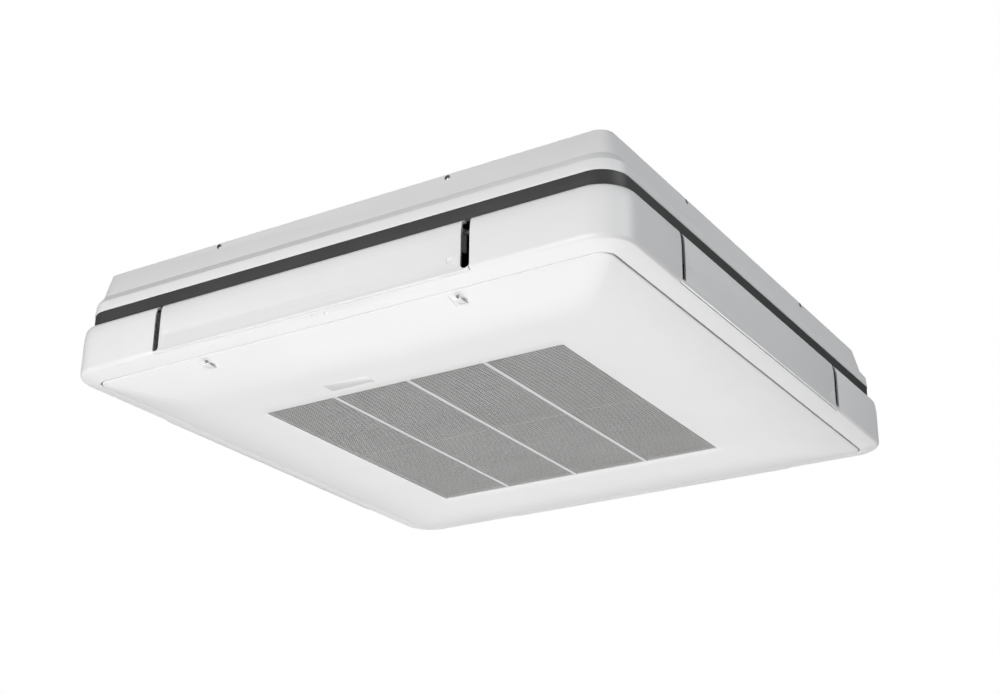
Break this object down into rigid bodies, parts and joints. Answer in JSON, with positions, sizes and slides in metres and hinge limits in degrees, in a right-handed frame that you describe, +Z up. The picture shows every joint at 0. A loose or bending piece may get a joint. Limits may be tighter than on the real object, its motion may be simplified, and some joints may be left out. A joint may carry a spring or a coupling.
{
  "type": "four-way ceiling-suspended air conditioner indoor unit",
  "caption": "Flat square air conditioner indoor unit that hangs under a ceiling, draws air in through its underside and blows it out past a swinging flap on each side.",
  "frame": {"origin": "centre of the suspension bolt pattern, on the upper face of the hanger brackets", "axes": "+Z up towards the ceiling; -Y is the front side with the panel's latch knobs; +Y is the back side with the pipe connections"},
  "size_m": [0.95, 0.95, 0.198],
  "materials": {
    "white_shell": "fine satin moulded plastic",
    "white_knob": "satin moulded plastic",
    "badge_plastic": "smooth, bare",
    "grille_plastic": "matt moulded plastic",
    "filter_plastic": "matt",
    "filter_cloth": "woven plastic net",
    "dark_band": "matt dark moulded plastic",
    "duct_foam": "dark foam-lined plastic",
    "insulation_foam": "expanded foam",
    "galvanised": "zinc-coated sheet",
    "screw_steel": "zinc-plated",
    "nylon": "natural nylon",
    "motor_case": "dark paint",
    "rubber_mount": "matt rubber",
    "fan_plastic": "dark moulded plastic",
    "inlet_plastic": "dark grey moulded plastic",
    "pan_plastic": "foam-lined plastic",
    "fin_metal": "thin bright fins",
    "copper": "drawn copper tube",
    "union_brass": "turned brass",
    "pump_plastic": "moulded plastic",
    "drain_plastic": "moulded plastic",
    "board_green": "lacquered circuit board",
    "terminal_plastic": "moulded plastic",
    "gland_plastic": "black nylon",
    "sensor_steel": "tinned steel bulb and clip"
  },
  "bodies": {
    "unit": {"band_ring": "dark_band", "bellmouth": "inlet_plastic", "bracket_screws": "screw_steel", "cable_gland": "gland_plastic", "casing_screws": "screw_steel", "circuit_board": "board_green", "coil_bends": "copper", "coil_fins": "fin_metal", "coil_plates": "galvanised", "control_box": "galvanised", "control_cover": "galvanised", "corner_posts": "galvanised", "drain_hose": "rubber_mount", "drain_pan": "pan_plastic", "drain_pump": "pump_plastic", "drain_socket": "drain_plastic", "fan_motor": "motor_case", "flap_bushes": "dark_band", "flap_motors": "motor_case", "float_switch": "nylon", "gas_pipe": "copper", "gas_union": "union_brass", "hanger_brackets": "galvanised", "liquid_pipe": "copper", "liquid_union": "union_brass", "lower_frame": "white_shell", "motor_mounts": "rubber_mount", "outlet_duct_back": "duct_foam", "outlet_duct_front": "duct_foam", "outlet_duct_left": "duct_foam", "outlet_duct_right": "duct_foam", "pump_bracket": "galvanised", "suction_thermistor": "sensor_steel", "terminal_block": "terminal_plastic", "top_insulation": "insulation_foam", "top_plate": "galvanised", "upper_casing": "white_shell"},
    "flap_body_front": {"flap_front": "white_shell", "flap_shaft_front": "screw_steel"},
    "flap_body_right": {"flap_right": "white_shell", "flap_shaft_right": "screw_steel"},
    "flap_body_back": {"flap_back": "white_shell", "flap_shaft_back": "screw_steel"},
    "flap_body_left": {"flap_left": "white_shell", "flap_shaft_left": "screw_steel"},
    "panel": {"suction_panel": "white_shell", "intake_grille": "grille_plastic", "filter_frame": "filter_plastic", "filter_net": "filter_cloth", "badge_plate": "badge_plastic", "hinge_pins": "screw_steel"},
    "knob_left": {"latch_knob_left": "white_knob"},
    "knob_right": {"latch_knob_right": "white_knob"},
    "fan": {"fan_hub": "fan_plastic", "fan_shroud": "fan_plastic", "fan_blades": "fan_plastic", "fan_shaft": "screw_steel", "fan_nut": "screw_steel"},
    "impeller": {"pump_impeller": "nylon"},
    "float": {"pump_float": "nylon"}
  },
  "joints": [
    {"name": "flap_front_swing", "type": "hinge", "parent": "unit", "child": "flap_body_front", "pos_m": [0, -0.459, -0.1085], "axis": [-1, 0, 0], "range_deg": [0, 90]},
    {"name": "flap_right_swing", "type": "hinge", "parent": "unit", "child": "flap_body_right", "pos_m": [0.459, 0, -0.1085], "axis": [0, -1, 0], "range_deg": [0, 90]},
    {"name": "flap_back_swing", "type": "hinge", "parent": "unit", "child": "flap_body_back", "pos_m": [0, 0.459, -0.1085], "axis": [1, 0, 0], "range_deg": [0, 90]},
    {"name": "flap_left_swing", "type": "hinge", "parent": "unit", "child": "flap_body_left", "pos_m": [-0.459, 0, -0.1085], "axis": [0, 1, 0], "range_deg": [0, 90]},
    {"name": "panel_hinge", "type": "hinge", "parent": "unit", "child": "panel", "pos_m": [0, 0.438, -0.177], "axis": [1, 0, 0], "range_deg": [0, 85]},
    {"name": "knob_left_slide", "type": "slide", "parent": "panel", "child": "knob_left", "axis": [0, -1, 0], "range_m": [0, 0.0075]},
    {"name": "knob_right_slide", "type": "slide", "parent": "panel", "child": "knob_right", "axis": [0, -1, 0], "range_m": [0, 0.0075]},
    {"name": "fan_spin", "type": "hinge", "parent": "unit", "child": "fan", "pos_m": [0, 0, -0.08], "axis": [0, 0, 1], "continuous": true},
    {"name": "impeller_spin", "type": "hinge", "parent": "unit", "child": "impeller", "pos_m": [0.304, 0.304, -0.14], "axis": [0, 0, 1], "continuous": true},
    {"name": "float_rise", "type": "slide", "parent": "unit", "child": "float", "axis": [0, 0, 1], "range_m": [0, 0.008]}
  ]
}
